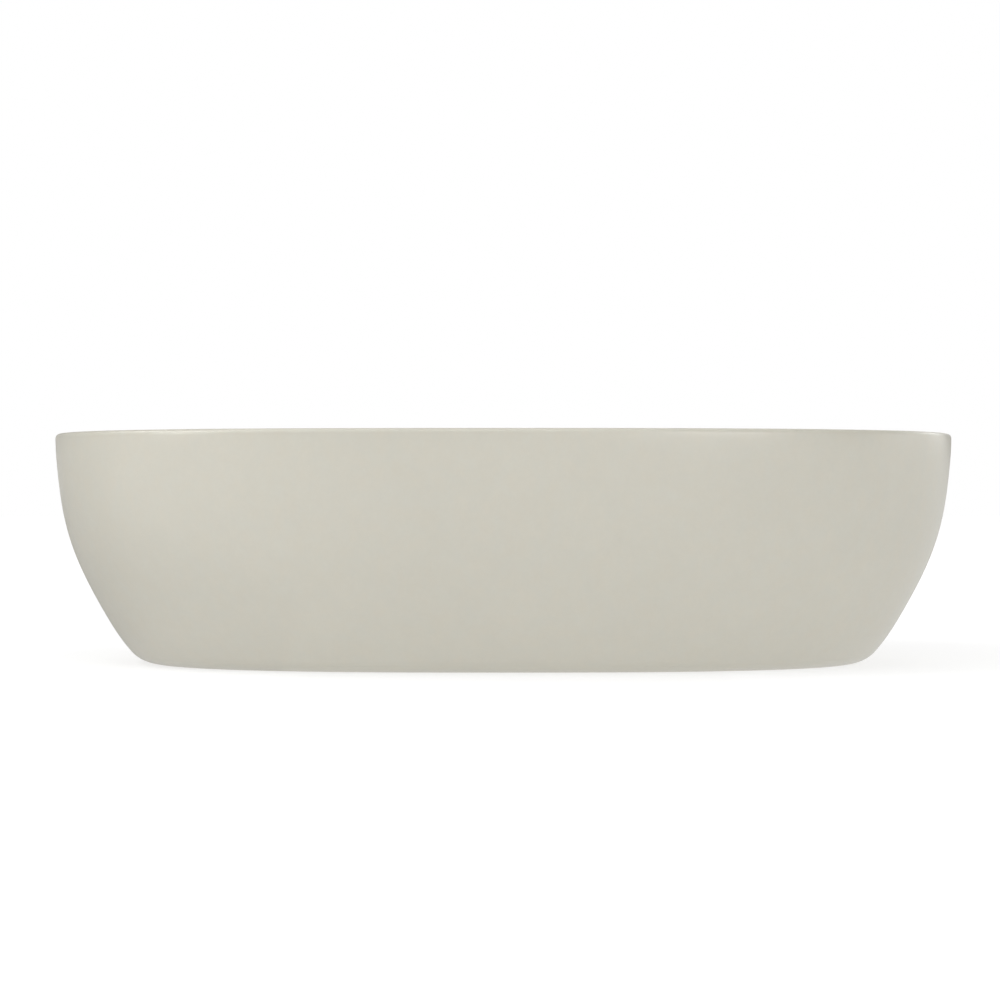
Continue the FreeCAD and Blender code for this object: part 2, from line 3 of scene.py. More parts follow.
import bmesh
import bpy
import numpy as np
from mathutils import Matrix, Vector


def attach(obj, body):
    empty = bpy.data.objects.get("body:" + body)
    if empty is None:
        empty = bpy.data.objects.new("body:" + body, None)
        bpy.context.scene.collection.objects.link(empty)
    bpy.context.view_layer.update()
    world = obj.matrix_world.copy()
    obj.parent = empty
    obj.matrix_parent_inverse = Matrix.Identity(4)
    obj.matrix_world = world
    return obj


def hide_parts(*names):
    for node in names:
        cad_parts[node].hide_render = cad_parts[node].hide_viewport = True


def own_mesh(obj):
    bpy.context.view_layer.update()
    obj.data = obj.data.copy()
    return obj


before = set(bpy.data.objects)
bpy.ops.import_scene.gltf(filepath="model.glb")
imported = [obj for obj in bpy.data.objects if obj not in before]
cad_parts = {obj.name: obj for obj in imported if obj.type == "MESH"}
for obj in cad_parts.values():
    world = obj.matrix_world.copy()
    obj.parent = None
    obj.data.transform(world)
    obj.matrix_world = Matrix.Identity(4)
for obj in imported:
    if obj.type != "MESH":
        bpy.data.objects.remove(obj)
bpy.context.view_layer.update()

scene = bpy.context.scene
MM = 0.001


# ---------------------------------------------------------------- mesh helpers
def new_object(name, verts, faces, sharp=None):
    """A smooth-shaded mesh object from vertices in millimetres; edges sharper than sharp degrees are marked sharp."""
    me = bpy.data.meshes.new(name)
    me.from_pydata([(x * MM, y * MM, z * MM) for x, y, z in verts], [], faces)
    me.validate()
    bm = bmesh.new()
    bm.from_mesh(me)
    bmesh.ops.recalc_face_normals(bm, faces=bm.faces)
    if bm.calc_volume(signed=True) < 0:
        bmesh.ops.reverse_faces(bm, faces=bm.faces)
    for f in bm.faces:
        f.smooth = True
    if sharp is not None:
        lim = math.radians(sharp)
        for e in bm.edges:
            if len(e.link_faces) == 2 and e.calc_face_angle(0.0) > lim:
                e.smooth = False
    bm.to_mesh(me)
    bm.free()
    ob = bpy.data.objects.new(name, me)
    scene.collection.objects.link(ob)
    return ob


def mark_sharp(ob, degrees):
    bm = bmesh.new()
    bm.from_mesh(ob.data)
    for f in bm.faces:
        f.smooth = True
    for e in bm.edges:
        e.smooth = not (len(e.link_faces) == 2 and e.calc_face_angle(0.0) > math.radians(degrees))
    bm.to_mesh(ob.data)
    bm.free()


def settle(ob):
    """Replaces an object's mesh by what its modifiers make of it."""
    dg = bpy.context.evaluated_depsgraph_get()
    me = bpy.data.meshes.new_from_object(ob.evaluated_get(dg))
    ob.modifiers.clear()
    old, ob.data = ob.data, me
    me.name = ob.name
    bpy.data.meshes.remove(old)


def bevelled(ob, width, segments=2, limit=30):
    b = ob.modifiers.new("edge", "BEVEL")
    b.width = width * MM
    b.segments = segments
    b.limit_method = "ANGLE"
    b.angle_limit = math.radians(limit)
    b.harden_normals = False
    settle(ob)
    mark_sharp(ob, 40)


def rounded(points, n=5):
    """An outline of (r, z) points in which a point with a third number has its corner rounded to that radius."""
    out, m = [], len(points)
    for i, p in enumerate(points):
        c = np.array(p[:2], float)
        if len(p) < 3 or p[2] <= 0:
            out.append(c)
            continue
        a, b = np.array(points[i - 1][:2], float) - c, np.array(points[(i + 1) % m][:2], float) - c
        la, lb = np.linalg.norm(a), np.linalg.norm(b)
        a, b = a / la, b / lb
        half = math.acos(max(-1.0, min(1.0, float(a @ b)))) / 2
        t = min(p[2] / math.tan(half), 0.49 * la, 0.49 * lb)
        r = t * math.tan(half)
        mid = c + (a + b) / np.linalg.norm(a + b) * r / math.sin(half)
        u, v = c + a * t - mid, c + b * t - mid
        turn = math.atan2(u[0] * v[1] - u[1] * v[0], float(u @ v))
        for k in range(n + 1):
            g = turn * k / n
            out.append(mid + np.array([u[0] * math.cos(g) - u[1] * math.sin(g), u[0] * math.sin(g) + u[1] * math.cos(g)]))
    return [(float(r), float(z)) for r, z in out]


def divided(points, r, z0, z1, step):
    """The outline with its straight run at radius r between z0 and z1 cut into steps."""
    out, m = [], len(points)
    for i, p in enumerate(points):
        q = points[(i + 1) % m]
        out.append(p)
        if abs(p[0] - r) < 1e-6 and abs(q[0] - r) < 1e-6:
            lo, hi = min(p[1], q[1]), max(p[1], q[1])
            zs = [z for z in np.arange(z0, z1 + 1e-9, step) if lo + 1e-6 < z < hi - 1e-6]
            out += [(r, float(z)) for z in (zs if q[1] > p[1] else zs[::-1])]
    return out


def screw(z, turn, z0, z1, pitch, depth):
    """Depth of a rounded V thread at height z and angle turn (in turns), run out at both ends."""
    f = abs(((z / pitch - turn) % 1.0) * 2 - 1)
    f = min(1.0, max(0.0, 1.35 * f - 0.175))
    f = f * f * (3 - 2 * f)
    fade = min(1.0, max(0.0, (z - z0) / (0.9 * pitch))) * min(1.0, max(0.0, (z1 - z) / (0.9 * pitch)))
    return depth * f * fade


def lathe(name, outline, seg=128, sharp=32, thread=None):
    """A closed turned piece about Z; thread is (radius, z0, z1, pitch, depth) for a run of the outline at that radius."""
    verts, rows = [], []
    for r, z in outline:
        if r < 1e-6:
            verts.append((0.0, 0.0, z))
            rows.append([len(verts) - 1] * seg)
            continue
        row = []
        for k in range(seg):
            t = k / seg
            q = r
            if thread and abs(r - thread[0]) < 1e-6 and thread[1] <= z <= thread[2]:
                q -= screw(z, t, *thread[1:])
            row.append(len(verts))
            verts.append((q * math.cos(2 * math.pi * t), q * math.sin(2 * math.pi * t), z))
        rows.append(row)
    faces, m = [], len(rows)
    for i in range(m):
        a, b = rows[i], rows[(i + 1) % m]
        if a[0] == a[1] and b[0] == b[1]:
            continue
        for k in range(seg):
            j = (k + 1) % seg
            f = [a[k], a[j], b[j], b[k]]
            f = [v for n, v in enumerate(f) if v not in f[:n]]
            faces.append(f)
    return new_object(name, verts, faces, sharp)


def rings(name, loops, sharp=32):
    """A closed piece from a cycle of loops of equal length, each joined to the next and the last to the first."""
    n = len(loops[0])
    verts = [v for lp in loops for v in lp]
    faces, m = [], len(loops)
    for i in range(m):
        a, b = i * n, ((i + 1) % m) * n
        for k in range(n):
            j = (k + 1) % n
            faces.append((a + k, a + j, b + j, b + k))
    return new_object(name, verts, faces, sharp)


def hex_nut(name, af, z0, z1, bore, per_side=16, soft=70, chamfer=0.6):
    n = 6 * per_side
    loops = []
    face = af / 2
    flat = face * 0.965

    def around(fn):
        return [fn(2 * math.pi * k / n) for k in range(n)]

    def ring(r, z):
        return around(lambda t: (r * math.cos(t), r * math.sin(t), z))

    def side(t):
        c = [max(0.0, math.cos(t - math.radians(30 + 60 * k))) / face for k in range(6)]
        return sum(x ** soft for x in c) ** (-1 / soft)

    def edge(up):
        z, s = (z1, -1) if up else (z0, 1)
        return around(lambda t: (side(t) * math.cos(t), side(t) * math.sin(t), z + s * 0.577 * max(0.0, side(t) - flat)))

    loops.append(ring(bore + chamfer, z0))
    loops.append(ring(bore, z0 + chamfer))
    loops.append(ring(bore, z1 - chamfer))
    loops.append(ring(bore + chamfer, z1))
    loops.append(ring((bore + chamfer + flat) / 2, z1))
    loops.append(ring(flat, z1))
    loops.append(edge(True))
    loops.append(edge(False))
    loops.append(ring(flat, z0))
    loops.append(ring((bore + chamfer + flat) / 2, z0))
    return rings(name, loops, 26)


# ---------------------------------------------------------------- basin
HALF_LENGTH, HALF_DEPTH, HEIGHT = 300.0, 200.0, 152.5
PLAN_EXPONENT = 2.77
WALL = [(48.7, 8.0), (35.6, 26.8), (26.6, 42.9), (16.1, 64.3), (8.45, 85.8), (3.85, 107.2), (1.25, 128.7), (0.0, 149.5)]
BASE_INSET, BASE_RADIUS, BASE_SLOPE = 66.0, 22.8, 0.851
RIM_RADIUS, RIM_THICKNESS, WALL_GAIN, SHELL = 3.0, 9.0, 2.3, 11.0
CURVE_START, FLOOR_EDGE_Z, FLOOR_Z, FLOOR_FALL = 84.0, 57.5, 51.0, 1.6
FLOOR_FLAT, BOSS_FLAT, BOSS_Z = (46.0, 44.0), (56.0, 52.0), 33.0
FOOT_WIDTH, FOOT_EDGE, HOLLOW_RADIUS = 22.0, 1.5, 7.0
SEAT_Z, SEAT_R, SEAT_LIP, DRAIN_R = 43.0, 33.0, 3.0, 22.75
AROUND = 288


def slopes(pts, s0, s1):
    """Slopes of the clamped cubic spline of inset over height."""
    z = np.array([p[1] for p in pts])
    d = np.array([p[0] for p in pts])
    n = len(pts)
    m, r = np.zeros((n, n)), np.zeros(n)
    m[0, 0] = m[-1, -1] = 1
    r[0], r[-1] = s0, s1
    for i in range(1, n - 1):
        h0, h1 = z[i] - z[i - 1], z[i + 1] - z[i]
        m[i, i - 1:i + 2] = h1, 2 * (h0 + h1), h0
        r[i] = 3 * (h1 * (d[i] - d[i - 1]) / h0 + h0 * (d[i + 1] - d[i]) / h1)
    return np.linalg.solve(m, r)


WALL_SLOPES = slopes(WALL, -BASE_SLOPE, 0.0)


def wall(z):
    z = max(z, WALL[0][1])
    for i in range(len(WALL) - 1):
        (d0, z0), (d1, z1) = WALL[i], WALL[i + 1]
        if z <= z1 + 1e-9:
            h, m0, m1 = z1 - z0, WALL_SLOPES[i], WALL_SLOPES[i + 1]
            t = (z - z0) / h
            d = (2 * t ** 3 - 3 * t * t + 1) * d0 + (t ** 3 - 2 * t * t + t) * h * m0 + (3 * t * t - 2 * t ** 3) * d1 + (t ** 3 - t * t) * h * m1
            s = ((6 * t * t - 6 * t) * d0 + (6 * t - 6 * t * t) * d1) / h + (3 * t * t - 4 * t + 1) * m0 + (3 * t * t - 2 * t) * m1
            return d, s
    return 0.0, 0.0


def inside_wall(z, t):
    d, s = wall(z)
    n = math.hypot(1.0, s)
    return d + t / n, max(z, WALL[0][1]) - t * s / n


def floor_curve(edge, flat, k):
    da, db = edge[0] - flat[0], edge[1] - flat[1]
    c3 = -(da + k - 2 * db)
    c2 = da - db - c3
    return lambda w: (edge[0] - da * w, edge[1] - da * w + c2 * w * w + c3 * w ** 3)


def plan_points(n):
    """Unit superellipse points, evenly spaced round the rim, from the right end anticlockwise."""
    e = 2.0 / PLAN_EXPONENT
    t = np.linspace(0, 1, 40001) ** 2 * (math.pi / 4)
    x, y = np.cos(t) ** e, np.sin(t) ** e
    t2 = math.pi / 2 - t[::-1]
    x = np.concatenate([x, np.clip(np.cos(t2[1:]), 0, 1) ** e])
    y = np.concatenate([y, np.sin(t2[1:]) ** e])
    run = np.concatenate([[0], np.cumsum(np.hypot(np.diff(x) * HALF_LENGTH, np.diff(y) * HALF_DEPTH))])
    s = np.linspace(0, run[-1], n // 4 + 1)
    qx, qy = np.interp(s, run, x), np.interp(s, run, y)
    qx[-1], qy[0] = 0.0, 0.0
    px = np.concatenate([qx[:-1], -qx[:0:-1], -qx[:-1], qx[:0:-1]])
    py = np.concatenate([qy[:-1], qy[:0:-1], -qy[:-1], -qy[:0:-1]])
    return px, py


def basin():
    ux, uy = plan_points(AROUND)
    cx, cy = ux * FLOOR_FLAT[0], uy * FLOOR_FLAT[1]
    cl = np.hypot(cx, cy)
    cx, cy = cx / cl, cy / cl
    loops, pool_and_shade, edge, bare = [], [], [], []

    def plan_ring(a, b, z, p=0.0, e=0.0, u=0.0, c=0.0, r=0.0):
        x = (1 - c) * a * ux + c * r * cx
        y = (1 - c) * b * uy + c * r * cy
        loops.append(list(zip(x, y, np.full(AROUND, z))))
        pool_and_shade.append(p)
        edge.append(e)
        bare.append(u)

    def round_ring(r, z, p=0.0, e=0.0, u=0.0):
        plan_ring(0, 0, z, p, e, u, 1.0, r)

    def inset_ring(d, z, p=0.0, e=0.0, u=0.0):
        plan_ring(HALF_LENGTH - d, HALF_DEPTH - d, z, p, e, u)

    # drain: hole, seat and rounded lip
    for i in range(4):
        g = math.pi / 2 * i / 3
        round_ring(DRAIN_R + 0.8 * (1 - math.sin(g)), BOSS_Z + 0.8 * (1 - math.cos(g)), u=1.0)
    round_ring(DRAIN_R, 38.0, u=0.6)
    for i in range(4):
        g = math.pi / 2 * i / 3
        round_ring(DRAIN_R + 0.6 * (1 - math.cos(g)), SEAT_Z - 0.6 * (1 - math.sin(g)), u=0.3)
    round_ring((DRAIN_R + SEAT_R) / 2, SEAT_Z, p=0.3)
    for i in range(5):
        g = math.pi / 2 * i / 4
        round_ring(SEAT_R - 1.0 * (1 - math.sin(g)), SEAT_Z + 1.0 * (1 - math.cos(g)), p=1.0)
    round_ring(SEAT_R, 46.2, p=0.7)
    for i in range(9):
        g = math.pi / 2 * i / 8
        round_ring(SEAT_R + SEAT_LIP * (1 - math.cos(g)), FLOOR_Z - SEAT_LIP * (1 - math.sin(g)), e=math.sin(2 * g), p=0.25)

    # level patch, from the lip's circle out to the floor's own outline
    for i in range(1, 6):
        plan_ring(*FLOOR_FLAT, FLOOR_Z, p=0.35, c=1 - i / 6, r=SEAT_R + SEAT_LIP)

    # bowl's own curve, worked out from the wall down
    z1 = HEIGHT - RIM_RADIUS

    def inner_wall(z):
        return inside_wall(z, RIM_THICKNESS + WALL_GAIN * ((z1 - z) / (z1 - CURVE_START)) ** 1.6)

    d0, zs = inner_wall(CURVE_START)
    da, za = inner_wall(CURVE_START + 0.5)
    psi0, psi1 = math.atan2(d0 - da, za - zs), math.radians(86)
    for _ in range(20):
        radius = (zs - FLOOR_EDGE_Z) / (math.sin(psi1) - math.sin(psi0))
        centre = (d0 + radius * math.cos(psi0), zs + radius * math.sin(psi0))
        d1 = centre[0] - radius * math.cos(psi1)
        psi1 = math.pi / 2 - math.atan((FLOOR_EDGE_Z - FLOOR_Z) * FLOOR_FALL / (HALF_LENGTH - d1 - FLOOR_FLAT[0]))
    rim_to_floor = [inner_wall(z1 + (CURVE_START - z1) * i / 16) for i in range(17)]
    for i in range(1, 19):
        t = psi0 + (psi1 - psi0) * i / 18
        rim_to_floor.append((centre[0] - radius * math.cos(t), centre[1] - radius * math.sin(t)))
    at = floor_curve((HALF_LENGTH - d1, HALF_DEPTH - d1), FLOOR_FLAT, 40.0)
    for i in range(30, 0, -1):
        w = i / 30
        a, b = at(w)
        plan_ring(a, b, FLOOR_Z + (FLOOR_EDGE_Z - FLOOR_Z) * (1 - w) ** FLOOR_FALL, p=0.3 + 0.2 * (1 - w))
    for i, (d, z) in enumerate(reversed(rim_to_floor)):
        p = 0.5 * max(0.0, 1 - abs(i - 6) / 14)
        inset_ring(d, z, p=p)

    # rim and outer wall, then the curve under to the foot, darkened more and more towards the foot as painted shade
    for i in range(1, 9):
        t = math.pi / 2 * (1 - i / 8)
        inset_ring(RIM_THICKNESS - RIM_RADIUS + RIM_RADIUS * math.sin(t), z1 + RIM_RADIUS * math.cos(t), e=math.sin(math.pi / 2 * i / 8) ** 2)
    inset_ring(RIM_THICKNESS / 2, HEIGHT, e=0.9)
    for i in range(9):
        t = math.pi / 2 * (1 - i / 8)
        inset_ring(RIM_RADIUS * (1 - math.cos(t)), z1 + RIM_RADIUS * math.sin(t), e=math.cos(math.pi / 2 * i / 8) ** 2)
    turn = math.atan(BASE_SLOPE)
    zb = BASE_RADIUS * (1 - math.sin(turn))
    for i in range(1, 41):
        z = z1 + (zb - z1) * i / 40
        inset_ring(wall(z)[0], z)
    # the darker tone that rises towards the foot along this curve is painted shade
    for i in range(1, 15):
        t = turn + (math.pi / 2 - turn) * i / 14
        inset_ring(BASE_INSET - BASE_RADIUS * math.cos(t), BASE_RADIUS - BASE_RADIUS * math.sin(t), p=0.15 + 0.85 * i / 14, u=max(0.0, (i - 11.5) / 2.5))

    # foot: bare resting face and its inner edge
    hole = BASE_INSET + FOOT_WIDTH
    for i in range(1, 5):
        inset_ring(BASE_INSET + (FOOT_WIDTH - FOOT_EDGE) * i / 5, 0.0, u=1.0)
    for i in range(6):
        t = math.pi / 2 * i / 5
        inset_ring(hole - FOOT_EDGE + FOOT_EDGE * math.sin(t), FOOT_EDGE * (1 - math.cos(t)), u=1.0 - 0.1 * i)
    inset_ring(hole, SHELL / 2, u=0.4)
    for i in range(6):
        t = math.pi / 2 * i / 5
        inset_ring(hole - FOOT_EDGE + FOOT_EDGE * math.cos(t), SHELL - FOOT_EDGE + FOOT_EDGE * math.sin(t), u=0.4)
    for i in range(1, 4):
        inset_ring(hole - FOOT_EDGE - (FOOT_WIDTH - FOOT_EDGE) * i / 4, SHELL, u=0.4)

    # hollow underside
    r = BASE_RADIUS - SHELL
    for i in range(9):
        t = math.pi / 2 + (turn - math.pi / 2) * i / 9
        inset_ring(BASE_INSET - r * math.cos(t), BASE_RADIUS - r * math.sin(t), u=0.4)
    lo, hi = zb, CURVE_START
    for _ in range(60):
        mid = (lo + hi) / 2
        p = inside_wall(mid, SHELL + HOLLOW_RADIUS)
        if math.hypot(p[0] - centre[0], p[1] - centre[1]) > radius + SHELL + HOLLOW_RADIUS:
            lo = mid
        else:
            hi = mid
    top = lo
    for i in range(13):
        inset_ring(*inside_wall(zb + (top - zb) * i / 12, SHELL), u=0.4)
    mid, end = inside_wall(top, SHELL + HOLLOW_RADIUS), inside_wall(top, SHELL)
    g0 = math.atan2(end[1] - mid[1], end[0] - mid[0]) % (2 * math.pi)
    g1 = math.atan2(centre[1] - mid[1], centre[0] - mid[0])
    for i in range(1, 9):
        g = g0 + (g1 - g0) * i / 8
        inset_ring(mid[0] + HOLLOW_RADIUS * math.cos(g), mid[1] + HOLLOW_RADIUS * math.sin(g), u=0.4)
    under = radius + SHELL
    for i in range(1, 7):
        t = g1 + (psi1 - g1) * i / 6
        inset_ring(centre[0] - under * math.cos(t), centre[1] - under * math.sin(t), u=0.4)
    d2, z2 = centre[0] - under * math.cos(psi1), centre[1] - under * math.sin(psi1)
    at = floor_curve((HALF_LENGTH - d2, HALF_DEPTH - d2), BOSS_FLAT, 34.0)
    for i in range(1, 27):
        w = i / 26
        a, b = at(w)
        s = min(1.0, max(0.0, (w - 0.66) / 0.32))
        drop = (FLOOR_Z - SHELL - BOSS_Z) * s * s * (3 - 2 * s)
        plan_ring(a, b, FLOOR_Z - SHELL + (z2 - FLOOR_Z + SHELL) * (1 - w) ** FLOOR_FALL - drop, u=0.4)
    for i in range(1, 6):
        plan_ring(*BOSS_FLAT, BOSS_Z, u=0.4 + 0.1 * i, c=i / 6, r=DRAIN_R + 0.8)

    ob = rings("glazed_bowl", loops, 60)
    for name, values in (("pool_and_shade", pool_and_shade), ("edge", edge), ("bare", bare)):
        att = ob.data.attributes.new(name, "FLOAT", "POINT")
        att.data.foreach_set("value", np.repeat(np.array(values, np.float32), AROUND))
    return ob


# ---------------------------------------------------------------- waste, cartridge and plug
TRAVEL = 9.0


def union(a, b):
    m = a.modifiers.new("join", "BOOLEAN")
    m.operation = "UNION"
    m.solver = "EXACT"
    m.object = b
    settle(a)
    me = b.data
    bpy.data.objects.remove(b)
    bpy.data.meshes.remove(me)


def waste_fitting():
    out = rounded([
        (17.8, 12.0), (18.6, 12.0), (18.6, 2.6, 0.2), (19.2, 2.0, 0.2), (19.955, 2.0, 0.25), (20.955, 3.0, 0.3),
        (20.955, 44.2, 0.35), (32.0, 44.2, 0.45), (32.0, 49.2, 1.3), (26.35, 49.2, 0.7), (17.8, 43.4, 1.2),
    ])
    out = divided(out, 20.955, 3.2, 26.0, 2.309 / 10)
    body = lathe("waste_fitting", out, 144, 34, (20.955, 3.2, 26.0, 2.309, 0.9))
    hub = lathe("hub", rounded([(4.0, 12.6, 0.3), (7.6, 12.6, 0.7), (7.6, 17.5, 0.5), (4.0, 17.5, 0.3)]), 72, 34)
    for i in range(3):
        t = math.radians(90 + 120 * i)
        prof = rounded([(-2.3, 12.6, 1.2), (2.3, 12.6, 1.2), (2.3, 15.4, 0.8), (-2.3, 15.4, 0.8)], 4)
        loops = []
        for r, w in ((5.2, 1.35), (7.6, 1.3), (9.6, 1.08), (12.5, 1.0), (15.6, 1.08), (17.6, 1.3), (18.3, 1.4)):
            loops.append([(r * math.cos(t) - s * w * math.sin(t), r * math.sin(t) + s * w * math.cos(t), z) for s, z in prof])
        n = len(prof)
        verts = [v for lp in loops for v in lp]
        faces = [(i2 * n + k, i2 * n + (k + 1) % n, (i2 + 1) * n + (k + 1) % n, (i2 + 1) * n + k) for i2 in range(len(loops) - 1) for k in range(n)]
        faces += [list(range(n)), list(range((len(loops) - 1) * n, len(loops) * n))]
        union(hub, new_object("arm", verts, faces))
    union(body, hub)
    mark_sharp(body, 34)
    return body


def flange_gasket():
    return lathe("flange_gasket", rounded([(23.15, 43.0, 0.35), (31.2, 43.0, 0.35), (31.2, 44.2, 0.35), (23.15, 44.2, 0.35)]), 128)


def tapered_gasket():
    return lathe("tapered_gasket", rounded([
        (21.005, 27.0, 0.3), (27.0, 27.0, 0.6), (28.2, 28.2, 0.5), (27.9, 28.9, 0.4), (30.6, 31.2, 0.8), (31.0, 33.0, 0.5), (21.005, 33.0, 0.3)]), 128)


def slip_ring():
    return lathe("slip_ring", rounded([(21.105, 25.5, 0.2), (29.0, 25.5, 0.4), (29.0, 27.0, 0.4), (21.105, 27.0, 0.2)]), 128)


def hex_backnut():
    ob = hex_nut("hex_backnut", 54.0, 15.0, 25.5, 21.005, 20, 90, 0.9)
    bevelled(ob, 0.35)
    return ob


def cartridge_tube():
    out = [(0, 12.9), (3.95, 12.9, 0.5), (3.95, 17.5), (8.2, 17.5, 0.6)]
    for k in range(5):
        z = 22.0 + 1.6 * k
        out += [(8.2, z, 0.15), (7.9, z + 0.3, 0.15), (7.9, z + 0.7, 0.15), (8.2, z + 1.0, 0.15)]
    out += [(8.2, 45.5, 0.5), (6.9, 45.5, 0.3), (6.9, 45.0), (7.5, 45.0), (7.5, 44.0), (6.9, 44.0), (6.9, 19.5, 0.4), (0, 19.5)]
    return lathe("cartridge_tube", rounded(out, 3), 96)


def guide_sleeve():
    return lathe("guide_sleeve", rounded([(4.05, 41.0, 0.3), (6.85, 41.0, 0.5), (6.85, 43.95, 0.2), (4.05, 43.95, 0.5)]), 80)


def snap_ring():
    z0, z1 = 44.05, 44.95
    n = 120
    top, verts, faces = [], [], []
    for i in range(n + 1):
        t = math.radians(13 + 334 * i / n)
        q = min(i, n - i) / n
        lug = 1.0 - min(1.0, max(0.0, (q - 0.035) / 0.02))
        lug = lug * lug * (3 - 2 * lug)
        r0 = 6.15 - 0.35 * math.sin(math.pi * i / n) - 1.05 * lug
        for r, z in ((r0, z0), (7.4, z0), (7.4, z1), (r0, z1)):
            verts.append((r * math.cos(t), r * math.sin(t), z))
    for i in range(n):
        a, b = 4 * i, 4 * (i + 1)
        for k in range(4):
            faces.append((a + k, a + (k + 1) % 4, b + (k + 1) % 4, b + k))
    faces += [(0, 1, 2, 3), (4 * n + 3, 4 * n + 2, 4 * n + 1, 4 * n)]
    ob = new_object("snap_ring", verts, faces, 32)
    bevelled(ob, 0.1)
    return ob


def return_spring():
    wire, mean, turns = 0.375, 5.0, 7.5
    lo, hi = 19.5 + wire + 0.03, 34.2 - wire - 0.03
    m, k = 420, 14
    t = np.linspace(0, turns, m + 1)
    pitch = np.where((t < 1.0) | (t > turns - 1.0), 0.0, 1.0)
    pitch = np.convolve(np.pad(pitch, 20, mode="edge"), np.ones(41) / 41, mode="valid")
    rise = 2 * wire * 1.02 + pitch * 3.2
    z = np.concatenate([[0], np.cumsum((rise[1:] + rise[:-1]) / 2 * np.diff(t))])
    z = lo + (hi - lo) * z / z[-1]
    verts, faces = [], []
    for i in range(m + 1):
        a = 2 * math.pi * t[i]
        slope = (z[min(i + 1, m)] - z[max(i - 1, 0)]) / (2 * math.pi * mean * (t[min(i + 1, m)] - t[max(i - 1, 0)]))
        tang = Vector((-math.sin(a), math.cos(a), slope)).normalized()
        out = Vector((math.cos(a), math.sin(a), 0))
        up = tang.cross(out) * -1
        for j in range(k):
            g = 2 * math.pi * j / k
            p = Vector((mean * math.cos(a), mean * math.sin(a), z[i])) + out * (wire * math.cos(g)) + up * (wire * math.sin(g))
            verts.append(tuple(p))
    for i in range(m):
        for j in range(k):
            faces.append((i * k + j, i * k + (j + 1) % k, (i + 1) * k + (j + 1) % k, (i + 1) * k + j))
    faces += [list(range(k)), list(range(m * k, (m + 1) * k))]
    return new_object("return_spring", verts, faces, 50)


def index_ring():
    bore, outer, z0, z1, teeth, drop = 2.98, 6.55, 34.2, 37.5, 8, 1.1
    angles, tops = [], []
    for i in range(teeth):
        for f, h in ((0.0, 1.0), (0.10, 1.0), (0.13, 0.0), (0.3, 0.2), (0.5, 0.44), (0.7, 0.68), (0.9, 0.92)):
            angles.append(2 * math.pi * (i + f) / teeth)
            tops.append(z1 - drop * (1 - h))

    def ring(r, z):
        return [(r * math.cos(t), r * math.sin(t), z) for t in angles]

    loops = [
        ring(bore, z0), ring(bore, z1), ring(4.4, z1), [(4.6 * math.cos(t), 4.6 * math.sin(t), h) for t, h in zip(angles, tops)],
        [(outer * math.cos(t), outer * math.sin(t), h) for t, h in zip(angles, tops)], ring(outer, z0 + 0.9), ring(outer, z0 + 0.3), ring(outer - 0.3, z0),
    ]
    ob = rings("index_ring", loops, 30)
    bevelled(ob, 0.08)
    return ob


def push_rod():
    return lathe("push_rod", rounded([
        (0, 29.5), (2.9, 29.5, 0.5), (2.9, 37.7, 0.2), (6.6, 37.7, 0.25), (6.6, 40.9, 0.4), (4.0, 40.9, 0.25), (4.0, 55.0, 0.4), (2.55, 55.0, 0.2), (2.55, 46.0, 0.2), (0, 46.0)]), 80)


def threaded_stud():
    out = rounded([(0, 46.5), (2.5, 46.5, 0.5), (2.5, 62.6, 0.5), (0, 62.6)])
    out = divided(out, 2.5, 46.9, 62.2, 0.08)
    return lathe("threaded_stud", out, 48, 40, (2.5, 46.9, 62.2, 0.8, 0.42))


def jam_nut():
    ob = hex_nut("jam_nut", 9.0, 55.05, 57.85, 2.55, 10, 70, 0.3)
    bevelled(ob, 0.1)
    return ob


def plug_carrier():
    n, pocket = 5.7, 57.95
    return lathe("plug_carrier", rounded([
        (2.55, pocket), (n, pocket, 0.3), (n, 55.0, 0.3), (9.5, 55.0, 0.5), (9.5, 55.7, 0.2), (21.5, 55.7, 0.4), (21.5, 56.3, 0.1), (19.0, 56.3, 0.2),
        (19.0, 58.5, 0.2), (25.5, 58.5, 0.4), (25.5, 61.0, 0.4), (2.55, 61.0)]), 120)


def plug_gasket():
    return lathe("plug_gasket", rounded([
        (19.0, 56.3), (22.7, 56.3, 0.5), (24.35, 57.3, 0.7), (24.6, 58.5, 0.5), (19.0, 58.5)]), 128)


def plug_dome():
    r, z0, z1 = 31.4, 58.8, 66.6
    er, ez = r - 2.6, z0 + 5.0
    rise = z1 - ez
    dome = (er ** 2 + rise ** 2) / (2 * rise)
    out = rounded([(0, 63.2), (3.7, 63.2, 0.5), (3.7, 61.0, 0.3), (27.4, 61.0, 0.4), (27.4, z0, 0.6)], 4)
    # rim of the dome: one smooth curve from the underside round to the top
    a0 = math.asin(er / dome)
    bead = 3.1
    cz, cr = z0 + bead, r - bead
    steps = 14
    for i in range(steps + 1):
        g = -math.pi / 2 + (math.pi - a0) * i / steps
        out.append((cr + bead * math.cos(g), cz + bead * math.sin(g)))
    r1, zz = out[-1]
    for i in range(1, 15):
        s = r1 * (1 - i / 14)
        out.append((s, z1 - (z1 - zz) * (s / r1) ** 2))
    ob = lathe("plug_dome", out, 144, 40)
    edge = np.zeros(len(ob.data.vertices), np.float32)
    pool_and_shade = np.zeros(len(ob.data.vertices), np.float32)
    bare = np.zeros(len(ob.data.vertices), np.float32)
    for i, v in enumerate(ob.data.vertices):
        q, z = math.hypot(v.co.x, v.co.y) / MM, v.co.z / MM
        edge[i] = max(0.0, min(1.0, (q - 27.5) / 3.0)) * (1.0 if z > z0 + 1.0 else 0.0) * 0.8
        bare[i] = 1.0 if z < z0 + 0.05 or (q < 27.45 and z < 63.3) else 0.0
    for name, values in (("pool_and_shade", pool_and_shade), ("edge", edge), ("bare", bare)):
        ob.data.attributes.new(name, "FLOAT", "POINT").data.foreach_set("value", values)
    return ob


